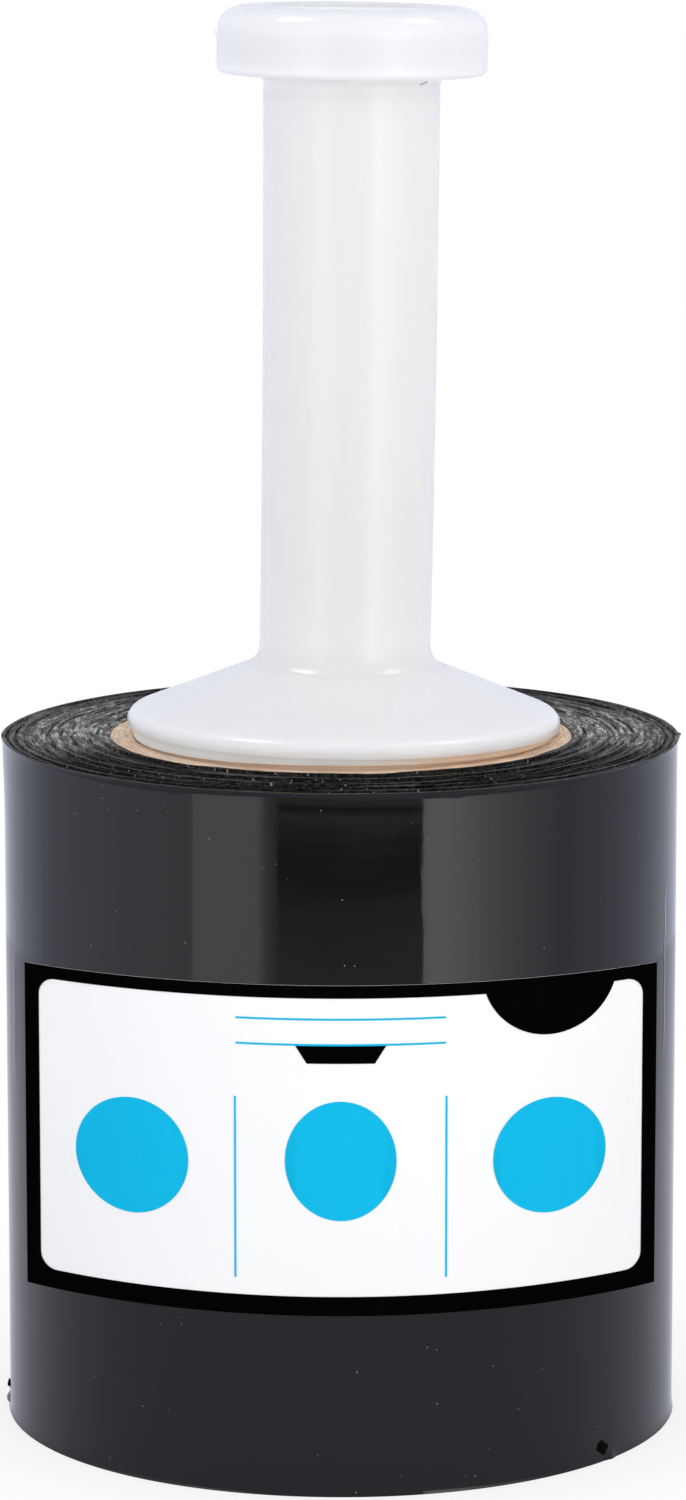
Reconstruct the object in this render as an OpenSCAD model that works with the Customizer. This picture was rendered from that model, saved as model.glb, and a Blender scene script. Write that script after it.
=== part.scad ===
// Mini roll of black stretch film, wound on a paper core, with a hollow moulded handle in the core.
// The roll stands on Z = 0 with its axis on Z, and the label faces -Y. All sizes are in millimetres.

/* [Film] */
// Width of the film, which is the height of the roll
film_w = 127; // [110:1:160]
// Outside diameter of the wound film
film_d = 124; // [112:0.5:150]
// Bands of turns that show on each end of the roll
bands = 17; // [8:1:24]
// How far the lowest band lies below the edge of the film
band_depth = 0.8; // [0.2:0.1:1.6]

/* [Core] */
// Bore of the paper core
core_bore = 76.2; // [66:0.1:80]
// Wall of the paper core
core_wall = 4.5; // [2.5:0.1:8]

/* [Handle seat] */
// Play all round between the handle's plug and the core
plug_play = 0.6; // [0.3:0.05:1]
// Depth of the plug below the end of the core
plug_l = 42; // [20:1:80]
// Rounding of the plug's lower edge
plug_edge_r = 4; // [2:0.5:8]
// Draft of the plug, as the loss of radius at its lower end
plug_draft = 0.3; // [0:0.05:0.6]
// How far the foot ring, which sits on the core, reaches past the bore
foot_lap = 0.6; // [0.3:0.1:1.2]
// Height of the foot ring
foot_h = 1.2; // [0.8:0.1:3]

/* [Flange] */
// How far the flange's rim reaches past the foot ring
rim_lap = 1.1; // [0.5:0.1:2]
// Height of the upright face of the rim
rim_h = 0.8; // [0.5:0.1:4]
// Radius of the shoulder above the rim
shoulder_r = 2.4; // [1.5:0.1:8]
// Slope of the flange in degrees
flange_slope = 22; // [10:1:32]
// Fillet between the flange and the grip
flange_fillet_r = 4.3; // [1:0.1:8]

/* [Grip] */
// Height of the handle above the end of the core
handle_h = 132.6; // [110:0.1:160]
// Diameter of the grip just above the flange
grip_foot_d = 31.2; // [24:0.1:38]
// Diameter of the grip just under the knob
grip_top_d = 31.9; // [24:0.1:38]

/* [Knob] */
// Diameter of the knob
knob_d = 48.9; // [44:0.1:60]
// Height of the knob
knob_h = 12.2; // [10:0.1:20]
// Rounding of the knob's upper edge
knob_edge_r = 4.7; // [2.5:0.1:7]
// Rounding of the knob's lower edge
knob_corner_r = 1.4; // [0.5:0.1:2]
// Fillet between the knob and the grip
knob_fillet_r = 2; // [1:0.1:4]
// Diameter of the shallow dish in the top of the knob
dish_d = 29; // [10:0.5:32]
// Depth of the dish
dish_depth = 0.7; // [0.2:0.1:1.5]

/* [Moulding] */
// Wall of the hollow handle
wall = 1.8; // [1.2:0.1:2.4]
// Width of the seam where the tube of plastic was pinched shut at each end
seam_w = 1; // [0.6:0.1:2]
// Height of the pinched seam
seam_h = 0.5; // [0.2:0.1:1]
// Bore of the needle hole that air was blown in through, under the plug
needle_d = 3; // [1.5:0.1:3.5]

/* [Label] */
// Cut length of the label round the roll
label_l = 147.5; // [110:0.5:170]
// Height of the label
label_h = 60; // [48:0.5:90]
// Height of the label's lower edge above the foot of the roll
label_z = 32; // [5:0.5:45]
// Thickness of the glue under the label
glue_t = 0.05; // [0.03:0.01:0.1]
// Thickness of the label
label_t = 0.2; // [0.1:0.05:0.5]
// Thickness of the printed colour
print_t = 0.1; // [0.05:0.01:0.2]
// Width of the black border above the white panel
border_top = 2.3; // [1:0.1:8]
// Width of the black border below the white panel
border_foot = 3.5; // [1:0.1:8]
// Width of the black border beside the panel, seen from the front
border_side = 3.2; // [1:0.1:8]
// Rounding of the panel's corners
panel_r = 3.1; // [1:0.1:6]

/* [Print] */
// Diameter of each blue disc
disc_d = 20.6; // [12:0.1:24]
// Distance between neighbouring discs, seen from the front
disc_pitch = 37.3; // [32:0.1:40]
// Gap between the tag and the middle disc
disc_gap = 7.4; // [1:0.1:10]
// Height of the upright lines' lower ends above the panel's lower edge
divider_z = 3.1; // [1:0.1:6]
// Gap between the lower level line and the upright lines
divider_gap = 9.5; // [2:0.1:14]
// Drop of the upper level line below the panel's upper edge
rule_drop = 3.6; // [2:0.1:4]
// Length of the level lines at the head of the panel
rule_l = 37; // [10:0.5:48]
// Distance between the two level lines
rule_gap = 4.6; // [2:0.1:8]
// Width of every printed line
line_w = 0.35; // [0.2:0.05:0.8]
// Width of the black tag under the level lines
tag_w = 16; // [6:0.5:30]
// Height of the tag
tag_h = 3.2; // [1:0.1:6]
// Radius of the black tab that hangs into the panel's upper edge
tab_r = 12.4; // [6:0.1:16]
// Drop of the tab below the panel's upper edge
tab_drop = 8.3; // [3:0.1:12]

/* [Hidden] */
$fn = 96;

film_r = film_d / 2;
bore_r = core_bore / 2;
core_r = bore_r + core_wall;
plug_r = bore_r - plug_play;
foot_r = bore_r + foot_lap;
rim_r = foot_r + rim_lap;
grip_foot_r = grip_foot_d / 2;
grip_top_r = grip_top_d / 2;
knob_r = knob_d / 2;
dish_r = dish_d / 2;
knob_z = handle_h - knob_h;
panel_h = label_h - border_top - border_foot;
panel_z = label_z + border_foot;
label_r = film_r + glue_t;
print_r = label_r + label_t;
label_angle = label_l / film_r * 180 / PI;
panel_w = 2 * (print_r * sin(label_angle / 2) - border_side);
rule_y = panel_h - rule_drop;
tag_y = rule_y - rule_gap - line_w;
disc_y = tag_y - tag_h - disc_gap - disc_d / 2;
least_r = 0.3;
cut = 1;
top_seed = 41;
foot_seed = 7;

// Points of an arc about centre c, from angle a0 to a1
function arc(c, r, a0, a1, steps = 10) =
    [for (i = [0:steps]) let (a = a0 + (a1 - a0) * i / steps) c + r * [cos(a), sin(a)]];

// Sum of the first n values of a list
function run(list, n) = n == 0 ? 0 : list[n - 1] + run(list, n - 1);

// Radii where the bands of turns meet, from the core out, each band of its own width
function band_radii(seed) =
    let (widths = rands(0.4, 1.6, bands, seed), total = run(widths, bands))
    [for (i = [0:bands]) core_r + (film_r - core_r) * run(widths, i) / total];

// How far each band lies back from the end of the film. The outer band and every fourth one inside it
// lie at the end, so that the roll stands on them.
function band_backs(seed) =
    let (drift = rands(0.15, 1, bands, seed + 1))
    [for (i = [0:bands - 1]) (bands - 1 - i) % 4 == 0 ? 0 : band_depth * drift[i]];

// Stepped outline of one end of the wound film, from the core out, as [radius, distance back]
function end_outline(seed) =
    let (radii = band_radii(seed), backs = band_backs(seed))
    [for (i = [0:bands - 1], side = [0, 1]) [radii[i + side], backs[i]]];

// The film's turns are one solid. Its two ends show them as rings that wander up and down.
module film_roll() {
    head = [for (p = end_outline(top_seed)) [p.x, film_w - p.y]];
    foot = end_outline(foot_seed);
    color("#1b1b1e")
        rotate_extrude()
            polygon(concat(foot, [for (i = [len(head) - 1:-1:0]) head[i]]));
}

// Wound paper tube under the film
module core() {
    color("#b9946c")
        difference() {
            cylinder(r = core_r, h = film_w);
            translate([0, 0, -cut]) cylinder(r = bore_r, h = film_w + 2 * cut);
        }
}

// Half outline of the handle with every face moved in by t, with the end of the core at height 0.
// It runs from the foot of the plug up the outside to the middle of the knob's dish.
function handle_outline(t) =
    let (
        plug_edge = max(plug_edge_r - t, least_r),
        plug_foot_r = plug_r - plug_draft - t,
        rim_foot = foot_h + min(t, rim_h),
        shoulder = max(shoulder_r - t, least_r),
        shoulder_c = [rim_r - t - shoulder, foot_h + rim_h],
        slope_top = shoulder_c + shoulder * [sin(flange_slope), cos(flange_slope)],
        fillet = flange_fillet_r + t,
        fillet_x = grip_foot_r - t + fillet,
        fillet_y = slope_top.y + (fillet - (fillet_x - slope_top.x) * sin(flange_slope)) / cos(flange_slope),
        neck = knob_fillet_r + t,
        knob_corner = max(knob_corner_r - t, least_r),
        knob_edge = max(knob_edge_r - t, least_r),
        dish_slope = 2 * dish_depth
    )
    concat(
        [[0, t - plug_l]],
        arc([plug_foot_r - plug_edge, t - plug_l + plug_edge], plug_edge, -90, 0),
        [[plug_r - t, t], [foot_r - t, t], [foot_r - t, rim_foot], [rim_r - t, rim_foot]],
        arc(shoulder_c, shoulder, 0, 90 - flange_slope),
        arc([fillet_x, fillet_y], fillet, 270 - flange_slope, 180, 8),
        arc([grip_top_r - t + neck, knob_z + t - neck], neck, 180, 90, 6),
        arc([knob_r - t - knob_corner, knob_z + t + knob_corner], knob_corner, -90, 0, 4),
        arc([knob_r - t - knob_edge, handle_h - t - knob_edge], knob_edge, 0, 90),
        [[dish_r + dish_slope, handle_h - t], [dish_r, handle_h - dish_depth - t], [0, handle_h - dish_depth - t]]
    );

// Raised seam with round ends, lying along X
module pinched_seam(length, height) {
    translate([-length / 2, -seam_w / 2, 0]) cube([length, seam_w, height]);
    for (side = [-1, 1])
        translate([side * length / 2, 0, 0]) cylinder(d = seam_w, h = height);
}

// Blown from one tube of plastic: plug, foot ring, flange, grip and knob are one hollow wall
module handle() {
    seam_l = dish_d - 2 * seam_w;
    root = wall / 2;
    color("#eceff3")
        translate([0, 0, film_w])
            difference() {
                union() {
                    rotate_extrude() polygon(handle_outline(0));
                    translate([0, 0, handle_h - dish_depth - root]) pinched_seam(seam_l, root + seam_h);
                    translate([0, 0, -plug_l - seam_h]) pinched_seam(seam_l, root + seam_h);
                }
                rotate_extrude() polygon(handle_outline(wall));
                translate([0, needle_d + seam_w, -plug_l - cut]) cylinder(d = needle_d, h = wall + 2 * cut);
            }
}

// Sheet of one thickness wrapped on the front of the roll
module wrapped(r, t) {
    rotate([0, 0, -90 - label_angle / 2])
        rotate_extrude(angle = label_angle)
            translate([r, label_z]) square([t, label_h]);
}

// Flat artwork, seen from the front, pushed straight back through the front half of the roll
module pushed_back() {
    rotate([90, 0, 0]) linear_extrude(print_r + print_t + cut) translate([0, panel_z]) children();
}

// The flat shapes below stand on the middle of the panel's lower edge
module panel() {
    inner_w = panel_w - 2 * panel_r;
    translate([-inner_w / 2, 0]) square([inner_w, panel_h]);
    translate([-panel_w / 2, panel_r]) square([panel_w, panel_h - 2 * panel_r]);
    for (x = [-1, 1], y = [panel_r, panel_h - panel_r])
        translate([x * inner_w / 2, y]) circle(r = panel_r);
}

// Round tab that hangs into the panel over the right-hand disc
module tab() {
    translate([disc_pitch, panel_h - tab_drop + tab_r]) circle(r = tab_r);
}

// Tapered tag under the lower level line
module tag() {
    foot_w = tag_w * 3 / 4;
    polygon([
        [-tag_w / 2, tag_y], [tag_w / 2, tag_y],
        [foot_w / 2, tag_y - tag_h], [-foot_w / 2, tag_y - tag_h]
    ]);
}

module discs() {
    for (x = [-disc_pitch, 0, disc_pitch])
        translate([x, disc_y]) circle(d = disc_d);
}

module fine_lines() {
    for (x = [-disc_pitch / 2, disc_pitch / 2])
        translate([x - line_w / 2, divider_z]) square([line_w, tag_y - divider_gap - divider_z]);
    for (y = [rule_y, rule_y - rule_gap])
        translate([-rule_l / 2, y - line_w]) square([rule_l, line_w]);
}

module label_sheet() {
    color("white") wrapped(label_r, label_t);
}

// Border, tab and tag. The places of the label's lettering stay bare.
module label_black_print() {
    color("#060608")
        difference() {
            wrapped(print_r, print_t);
            pushed_back() difference() {
                panel();
                tab();
                tag();
            }
        }
}

module label_blue_print() {
    color("#13beea")
        intersection() {
            wrapped(print_r, print_t);
            pushed_back() {
                discs();
                fine_lines();
            }
        }
}

film_roll();
core();
handle();
label_sheet();
label_black_print();
label_blue_print();
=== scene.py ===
# %% [markdown]
# # A mini roll of black stretch film with a hand grip
#
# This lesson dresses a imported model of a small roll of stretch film. The real thing has four parts: the
# wound film, the paper tube that it is wound on, a hollow plastic handle pushed into the tube, and a paper
# label round the front. We load the solids first, and everything that we make afterwards stays in their
# place, so nothing has to be fitted at the end.

import math
from functools import partial

import bmesh
import bpy
import numpy as np
from mathutils import Matrix, Vector


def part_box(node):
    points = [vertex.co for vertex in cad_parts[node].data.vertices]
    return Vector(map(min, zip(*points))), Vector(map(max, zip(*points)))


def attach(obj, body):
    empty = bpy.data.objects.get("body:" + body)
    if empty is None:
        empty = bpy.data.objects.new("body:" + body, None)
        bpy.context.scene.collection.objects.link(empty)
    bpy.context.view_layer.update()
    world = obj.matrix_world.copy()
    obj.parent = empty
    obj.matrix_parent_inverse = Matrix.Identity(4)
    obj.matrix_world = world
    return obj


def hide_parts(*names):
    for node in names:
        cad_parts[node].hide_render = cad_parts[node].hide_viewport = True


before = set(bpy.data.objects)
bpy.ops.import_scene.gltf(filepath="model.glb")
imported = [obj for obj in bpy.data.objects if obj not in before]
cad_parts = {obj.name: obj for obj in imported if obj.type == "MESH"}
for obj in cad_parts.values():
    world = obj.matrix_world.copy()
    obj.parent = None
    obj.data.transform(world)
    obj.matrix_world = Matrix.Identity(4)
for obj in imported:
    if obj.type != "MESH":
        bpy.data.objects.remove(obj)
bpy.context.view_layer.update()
print("Solids:", sorted(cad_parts))

# %% [markdown]
# ## Measures
#
# The sizes of the film, the core and the handle's rim are read from the solids. The core's wall, and later
# the small radii and slopes of the handle, are written out, because a box can't tell them.

# %% Sizes of the real parts, in metres
MM = 0.001

FILM_R, _, FILM_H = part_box("film_roll")[1]
CORE_R, CORE_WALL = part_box("core")[1].x, 4.5 * MM
HANDLE_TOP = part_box("handle")[1].z - FILM_H
HANDLE_RIM_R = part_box("handle")[1].x

print(f"Film {FILM_R * 2000:.1f} mm across and {FILM_H * 1000:.1f} mm high")
print(f"Handle stands {HANDLE_TOP * 1000:.1f} mm above the film")

# %% [markdown]
# ## Small helpers
#
# Every shader and every Geometry Nodes tree below is made of the same moves: add a node, feed its inputs,
# and do arithmetic. Short names for these moves keep the trees readable. A helper finds its tree through
# the sockets that it is given. A second set of helpers makes meshes, and a third one makes materials.

# %% Helpers for node trees
def feed(node, inputs):
    """Sets a node's inputs. A value is a number, a colour or the socket that feeds the input."""
    for key, value in inputs.items():
        if isinstance(value, bpy.types.NodeSocket):
            node.id_data.links.new(value, node.inputs[key])
        else:
            node.inputs[key].default_value = value


def add_node(tree, kind, inputs=None, **settings):
    """Adds a node with its inputs and settings."""
    made = tree.nodes.new(kind)
    for name, value in settings.items():
        setattr(made, name, value)
    feed(made, inputs or {})
    return made


def tree_of(values):
    """The node tree that the sockets among the values belong to."""
    return next(value for value in values if isinstance(value, bpy.types.NodeSocket)).id_data


def calc(operation, *values):
    """The output of a Math node that works on the values, which are numbers or sockets."""
    inputs = dict(enumerate(values))
    return add_node(tree_of(values), "ShaderNodeMath", inputs, operation=operation).outputs[0]


add, sub, mul, div, mul_add, most, least, more, less = (partial(calc, operation) for operation in (
    "ADD", "SUBTRACT", "MULTIPLY", "DIVIDE", "MULTIPLY_ADD", "MAXIMUM", "MINIMUM", "GREATER_THAN",
    "LESS_THAN"))


def ramp(value, start, stop, low=0.0, high=1.0, clamp=True):
    """A value that goes from low to high while the given one goes from start to stop."""
    return add_node(value.id_data, "ShaderNodeMapRange", {0: value, 1: start, 2: stop, 3: low, 4: high},
                    clamp=clamp).outputs[0]


def noise(place, scale, detail=2.0, roughness=0.5, distortion=0.0):
    """Smooth noise, mostly between 0.3 and 0.7."""
    return add_node(place.id_data, "ShaderNodeTexNoise", {
        "Vector": place, "Scale": scale, "Detail": detail, "Roughness": roughness,
        "Distortion": distortion}).outputs[0]


def vector(x=0.0, y=0.0, z=0.0):
    """A vector of three values."""
    return add_node(tree_of((x, y, z)), "ShaderNodeCombineXYZ", {0: x, 1: y, 2: z}).outputs[0]


def axes_of(place):
    """The three values of a vector."""
    return add_node(place.id_data, "ShaderNodeSeparateXYZ", {0: place}).outputs


def reach_of(axes):
    """Distance from the Z axis."""
    return calc("SQRT", mul_add(axes[0], axes[0], mul(axes[1], axes[1])))


def spaced(values):
    """The same values, with spaces for the underscores in their names."""
    return {name.replace("_", " "): value for name, value in values.items()}


def add_sockets(tree, direction, sockets):
    """Gives a group its named inputs or outputs. Each one has a default value or, as a word, only a kind."""
    for name, value in sockets.items():
        kind = value if isinstance(value, str) else type(value).__name__.capitalize()
        made = tree.interface.new_socket(name, in_out=direction, socket_type="NodeSocket" + kind)
        if kind != value:
            made.default_value = value


print("Node helpers are ready")


# %% Helpers for meshes
MERGE_DISTANCE = 1e-6


def mesh_piece(name, points, faces, materials):
    """A mesh object with its place in its mesh, merged, facing outwards and smooth up to an angle."""
    mesh = bpy.data.meshes.new(name)
    mesh.from_pydata([tuple(p) for p in points], [], faces)
    return finish_mesh(name, mesh, materials)


def arc(centre, radius, start_deg, end_deg, steps):
    """Points of an arc in the (radius, height) plane."""
    angles = np.radians(np.linspace(start_deg, end_deg, steps + 1))
    return [(centre[0] + radius * math.cos(a), centre[1] + radius * math.sin(a)) for a in angles]


def lathe(outline, angles, closed=True, shape=None, whole=True):
    """Turns an outline of (radius, height) points about the Z axis. shape may move each point.

    A closed outline comes back to its first point. A whole turn comes back to its first angle.
    """
    points, faces = [], []
    rows, columns = len(outline), len(angles)
    for angle in angles:
        for radius, height in outline:
            if shape:
                radius, height = shape(radius, height, angle)
            points.append((radius * math.cos(angle), radius * math.sin(angle), height))
    for column in range(columns if whole else columns - 1):
        here, there = column * rows, (column + 1) % columns * rows
        for row in range(rows if closed else rows - 1):
            after = (row + 1) % rows
            faces.append((here + row, there + row, there + after, here + after))
    return points, faces


def whole_turn(columns):
    """Angles of columns that stand evenly round the axis."""
    return [2 * math.pi * column / columns for column in range(columns)]


def mesh_of(form, name):
    """Turns a bmesh into a mesh and lets the bmesh go."""
    mesh = bpy.data.meshes.new(name)
    form.to_mesh(mesh)
    form.free()
    return mesh


def move_points(mesh, *moves):
    """Lets functions move the points of a mesh, which they get as rows of an array."""
    spots = np.empty(len(mesh.vertices) * 3)
    mesh.vertices.foreach_get("co", spots)
    for move in moves:
        move(spots.reshape(-1, 3))
    mesh.vertices.foreach_set("co", spots)


def finish_mesh(name, mesh, materials, smooth_angle=35):
    """Merges doubles, turns faces outwards and makes a piece of the mesh."""
    form = bmesh.new()
    form.from_mesh(mesh)
    bmesh.ops.remove_doubles(form, verts=form.verts, dist=MERGE_DISTANCE)
    bmesh.ops.recalc_face_normals(form, faces=form.faces)
    form.to_mesh(mesh)
    form.free()
    return smooth_piece(name, mesh, materials, smooth_angle)


def smooth_piece(name, mesh, materials, smooth_angle=35):
    """Smooths a mesh up to an angle, gives it its materials and links it as an object."""
    mesh.polygons.foreach_set("use_smooth", [True] * len(mesh.polygons))
    mesh.set_sharp_from_angle(angle=math.radians(smooth_angle))
    if materials:
        mesh.materials.clear()
        for material in materials:
            mesh.materials.append(material)
    piece = bpy.data.objects.new(name, mesh)
    bpy.context.scene.collection.objects.link(piece)
    print(f"{name}: {len(mesh.vertices)} points, {len(mesh.polygons)} faces")
    return piece


print("Mesh helpers are ready")


# %% Helpers for materials
def new_material(name, **plain):
    """A material, its shader and its Object coordinates. Plain values go on the shader."""
    material = bpy.data.materials.new(name)
    material.use_nodes = True
    shader = material.node_tree.nodes["Principled BSDF"]
    feed(shader, spaced(plain))
    return material, shader, add_node(material.node_tree, "ShaderNodeTexCoord").outputs["Object"]


def use_group(group, place, **inputs):
    """Places a shader group and returns its outputs. An underscore in an input's name stands for a space."""
    made = add_node(place.id_data, "ShaderNodeGroup", node_tree=group)
    feed(made, {"Vector": place, **spaced(inputs)})
    return made.outputs


def mix_colours(share, first, second):
    """Blends two colours by a share from 0 to 1."""
    inputs = {0: share, 6: first, 7: second}
    return add_node(share.id_data, "ShaderNodeMix", inputs, data_type="RGBA").outputs[2]


def stretched(place, scale):
    """Object coordinates with each axis stretched by its own factor."""
    return add_node(place.id_data, "ShaderNodeMapping", {"Vector": place, "Scale": scale}).outputs[0]


def cells_of(place, scale):
    """Cells scattered through space: the distance from a cell's middle, and three values of its own."""
    cells = add_node(place.id_data, "ShaderNodeTexVoronoi", {"Vector": place, "Scale": scale}).outputs
    return cells["Distance"], add_node(place.id_data, "ShaderNodeSeparateColor", {0: cells["Color"]}).outputs


def bump(height, distance, strength=1.0):
    """Normals that a height bends."""
    return add_node(height.id_data, "ShaderNodeBump", {
        "Height": height, "Distance": distance, "Strength": strength}).outputs[0]


def shader_group(name, outputs, **inputs):
    """An empty group that is given a Vector and some values. Returns its tree and its given sockets."""
    tree = bpy.data.node_groups.new(name, "ShaderNodeTree")
    add_sockets(tree, "INPUT", {"Vector": "Vector", **spaced(inputs)})
    add_sockets(tree, "OUTPUT", dict.fromkeys(outputs, "Float"))
    return tree, add_node(tree, "NodeGroupInput").outputs


print("Material helpers are ready")

# %% [markdown]
# ## Camera
#
# The photograph was taken with a long lens from a little over a metre away, looking down by ten degrees.
# Both ends of the roll are ellipses in it, and their two flattenings fix the camera's height and distance.

# %% Camera
CAMERA_PLACE = Vector((0.0004, -1.080, 0.313))
CAMERA_PITCH = math.radians(9.93)
CAMERA_LENS = 142.7

camera = bpy.data.objects.new("Camera", bpy.data.cameras.new("Camera"))
camera.location = CAMERA_PLACE
camera.rotation_euler = (math.radians(90) - CAMERA_PITCH, 0, 0)
camera.data.lens = CAMERA_LENS
bpy.context.scene.collection.objects.link(camera)
bpy.context.scene.camera = camera
bpy.context.scene.view_settings.view_transform = "Standard"
print("Camera at", tuple(round(c, 3) for c in CAMERA_PLACE), "with a lens of", CAMERA_LENS, "mm")

# %% [markdown]
# ## Studio
#
# Glossy black film is a mirror of the studio, so the studio is built for its reflections. The background
# is white. A dark card stands behind the camera and gives the black stripe down the middle of the film. A
# curved wall of light on each side of the card gives the grey stripes, and its brightness changes smoothly
# with the direction, as the film shows it.
#
# The world is white for the camera, a little bluish in reflections, and a little dimmer as a light, so that
# the pale handle doesn't burn out. Two small high lamps add the short highlights on the handle.

# %% World
WORLD_LIGHT = 0.97
LIGHT_TINT = (0.985, 0.985, 1.0, 1)
GLOSS_TINT = (0.80, 0.83, 1.0, 1)


def seen_or(rays, level):
    """1 for what the camera, a reflection or a clear thing sees, and level as a light on other things."""
    seen = add(add(rays["Is Camera Ray"], rays["Is Glossy Ray"]), rays["Is Transmission Ray"])
    return mul_add(least(seen, 1.0), 1 - level, level)


world = bpy.data.worlds.new("White studio")
bpy.context.scene.world = world
world.use_nodes = True
rays = add_node(world.node_tree, "ShaderNodeLightPath").outputs
tint = mix_colours(rays["Is Glossy Ray"], LIGHT_TINT, GLOSS_TINT)
tint = mix_colours(rays["Is Camera Ray"], tint, (1, 1, 1, 1))
feed(world.node_tree.nodes["Background"], {"Color": tint, "Strength": seen_or(rays, WORLD_LIGHT)})
print("World lights at", WORLD_LIGHT, "and looks white")


# %% Floor
FLOOR_R = 0.45
FLOOR_FADE = (0.25, FLOOR_R * 0.98)
FLOOR_RINGS = 4
FLOOR_GLOW = 0.69
FLOOR_PAPER = 0.32
GLOW_AS_LIGHT = 0.5
FLOOR_IN_GLOSS = (0.64, 0.66, 0.79, 1)


def floor_material():
    """Pale matt paper under the roll. It glows white far from the roll, and it is clear from below."""
    material, shader, place = new_material("Floor paper", Roughness=0.9, Specular_IOR_Level=0.1)
    tree = place.id_data
    reach = add_node(tree, "ShaderNodeVectorMath", {0: place}, operation="LENGTH").outputs["Value"]
    far = ramp(reach, *FLOOR_FADE)
    rays = add_node(tree, "ShaderNodeLightPath").outputs
    behind = add_node(tree, "ShaderNodeNewGeometry").outputs["Backfacing"]
    feed(shader, {
        "Base Color": mix_colours(far, (FLOOR_PAPER, FLOOR_PAPER, FLOOR_PAPER, 1), (0, 0, 0, 1)),
        "Emission Color": mix_colours(rays["Is Glossy Ray"], (1, 1, 1, 1), FLOOR_IN_GLOSS),
        "Emission Strength": mul(mul_add(far, 1 - FLOOR_GLOW, FLOOR_GLOW), seen_or(rays, GLOW_AS_LIGHT)),
        "Alpha": sub(1, behind)})
    return material


floor_outline = [(FLOOR_R * ring / FLOOR_RINGS, 0) for ring in range(FLOOR_RINGS + 1)]
floor = mesh_piece("Floor", *lathe(floor_outline, whole_turn(96), closed=False), [floor_material()])
if floor.data.polygons[0].normal.z < 0:
    floor.data.flip_normals()


# %% Dark card and light wall
CARD_Y = -1.5
CARD_LEFT = math.radians(-23)
CARD_RIGHT = math.radians(28.5)
CARD_FOOT = -0.55
CARD_TOP = 1.1
# The card is darkest at one height, which rises towards its sides. Above and below that it is grey, and it
# grows paler over a stretch of height near the top and near the foot of what the film shows
CARD_DARKEST_Z, CARD_DARK_H, CARD_BEND, CARD_GREY = -0.168, (0.008, 0.016), 0.055, 0.30
CARD_UPPER, CARD_LOWER = (-0.149, -0.137, 0.3), (-0.204, -0.210, 0.12)
WALL_REACH = 1.45
WALL_FOOT = -0.55
WALL_TOP = 1.15
WALL_TINT = (1.0, 0.985, 0.95, 1)
STUDIO_TINT = (0.85, 0.87, 1.0, 1)


def card_material():
    """Matt black card, which only reflections see."""
    material, shader, place = new_material(
        "Dark card", Base_Color=(0.01, 0.01, 0.01, 1), Roughness=1.0, Specular_IOR_Level=0.0,
        Emission_Color=(1, 1, 1, 1))
    axes = axes_of(place)
    height = mul_add(mul(axes[0], axes[0]), CARD_BEND, axes[2])
    away = calc("ABSOLUTE", sub(height, CARD_DARKEST_Z))
    upper, lower = (ramp(height, start, stop, 0.0, grey) for start, stop, grey in (CARD_UPPER, CARD_LOWER))
    feed(shader, {"Emission Strength": add(add(ramp(away, *CARD_DARK_H, 0.0, CARD_GREY), upper), lower)})
    return material


# Light wall by direction: degrees from the camera's side towards the right, lamp level, share of the
# studio's white. The dark card stands in its gap, and the wall fades into the card's left edge.
WALL_LEVELS = [
    (-112, 0.0, 1), (-86, 0.30, 1), (-50.8, 0.40, 1), (-49.6, 1.30, 1), (-28, 1.30, 1), (-25.5, 0.75, 0.8),
    (-23, 0.20, 0.65), (-20.5, 0.0, 0.52), (27, 1.90, 1), (31, 2.55, 1), (40, 2.10, 1), (48, 1.40, 1),
    (57, 0.80, 1), (66, 0.40, 1), (78, 0.0, 1)]
WALL_GAP = (-20.5, 27)
WALL_PEAK, WALL_STEP = 3.5, 3


def light_wall_material():
    """Glowing wall whose brightness changes smoothly round the roll."""
    material, shader, place = new_material(
        "Light wall", Base_Color=(0, 0, 0, 1), Specular_IOR_Level=0.0, Emission_Strength=WALL_PEAK)
    axes = axes_of(place)
    turn = calc("ARCTAN2", axes[0], mul(axes[1], -1))
    first, last = (math.radians(WALL_LEVELS[i][0]) for i in (0, -1))
    colours = add_node(place.id_data, "ShaderNodeValToRGB", {0: ramp(turn, first, last)})
    stops = colours.color_ramp.elements
    while len(stops) < len(WALL_LEVELS):
        stops.new(0.5)
    for stop, (degrees, _, _) in zip(stops, WALL_LEVELS):
        stop.position = (math.radians(degrees) - first) / (last - first)
    for stop, (_, level, share) in zip(stops, WALL_LEVELS):
        parts = zip(WALL_TINT, STUDIO_TINT)
        stop.color = [(level * lamp + share * studio) / WALL_PEAK for lamp, studio in parts]
    feed(shader, {"Emission Color": colours.outputs[0]})
    return material


def light_wall(name, start_deg, end_deg, material):
    """Upright curved strip between two directions. The camera doesn't see it."""
    steps = max(2, round((end_deg - start_deg) / WALL_STEP))
    angles = np.radians(np.linspace(start_deg - 90, end_deg - 90, steps + 1))
    strip = lathe([(WALL_REACH, WALL_FOOT), (WALL_REACH, WALL_TOP)], angles, closed=False, whole=False)
    wall = mesh_piece(name, *strip, [material])
    wall.visible_camera = False


card_x = [CARD_Y * -math.tan(CARD_LEFT), CARD_Y * -math.tan(CARD_RIGHT)]
card_points = [(x, CARD_Y, z) for x in card_x for z in (CARD_FOOT, CARD_TOP)]
card = mesh_piece("Dark_card", card_points, [(0, 1, 3, 2)], [card_material()])
card.visible_camera = False
card.visible_diffuse = False

WALL_GLOW = light_wall_material()
light_wall("Light_wall_left", WALL_LEVELS[0][0], WALL_GAP[0], WALL_GLOW)
light_wall("Light_wall_right", WALL_GAP[1], WALL_LEVELS[-1][0], WALL_GLOW)


# %% High lamps
# Direction and height in degrees, size in metres, level
HIGH_LAMPS = [(-97, 64, 0.36, 16.0), (100, 57, 0.36, 10.0)]
HIGH_REACH = 1.5
HIGH_AIM = Vector((0, 0, 0.15))


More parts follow.
